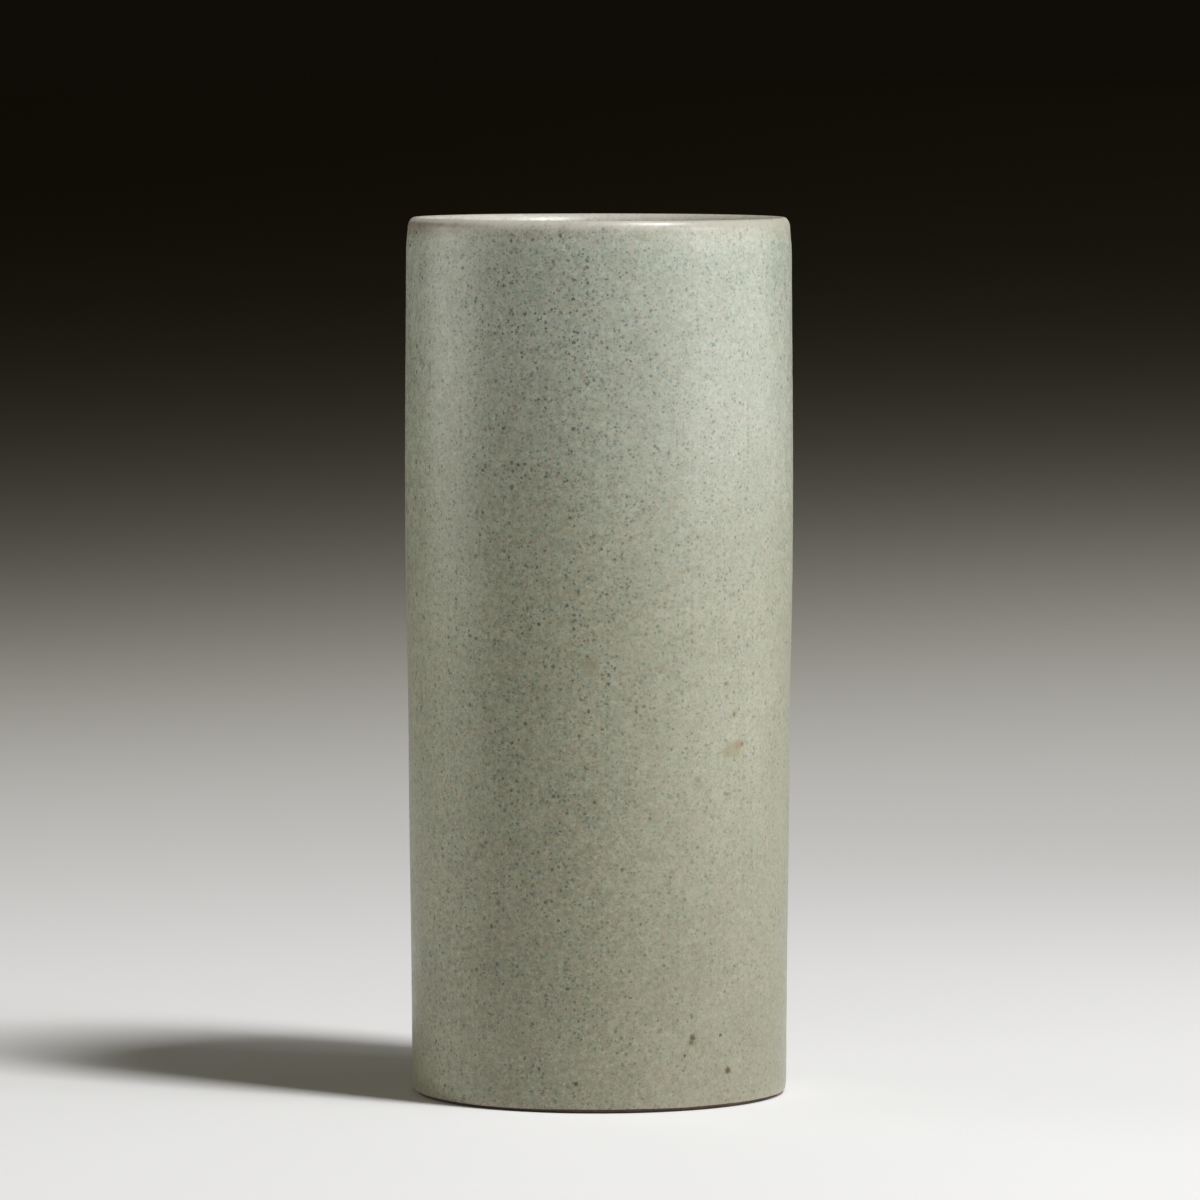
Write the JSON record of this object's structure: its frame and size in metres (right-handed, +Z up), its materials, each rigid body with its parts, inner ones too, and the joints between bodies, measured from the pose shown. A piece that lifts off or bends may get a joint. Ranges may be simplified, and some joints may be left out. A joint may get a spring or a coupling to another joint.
{
  "type": "brush pot",
  "caption": "Tall straight-sided stoneware pot with a rounded lip, an open well and a shallow foot, for standing calligraphy brushes upright.",
  "frame": {"origin": "centre of the plane that the foot stands on", "axes": "+Z up the pot's axis towards the rim; X and Y are equivalent, as the pot is turned about Z"},
  "size_m": [0.0798, 0.0798, 0.18],
  "materials": {
    "bare_stoneware": "matte",
    "speckled_celadon": "satin",
    "liner_glaze": "satin"
  },
  "bodies": {
    "root": {"clay_body": "bare_stoneware", "outer_glaze": "speckled_celadon", "inner_glaze": "liner_glaze"}
  },
  "joints": []
}
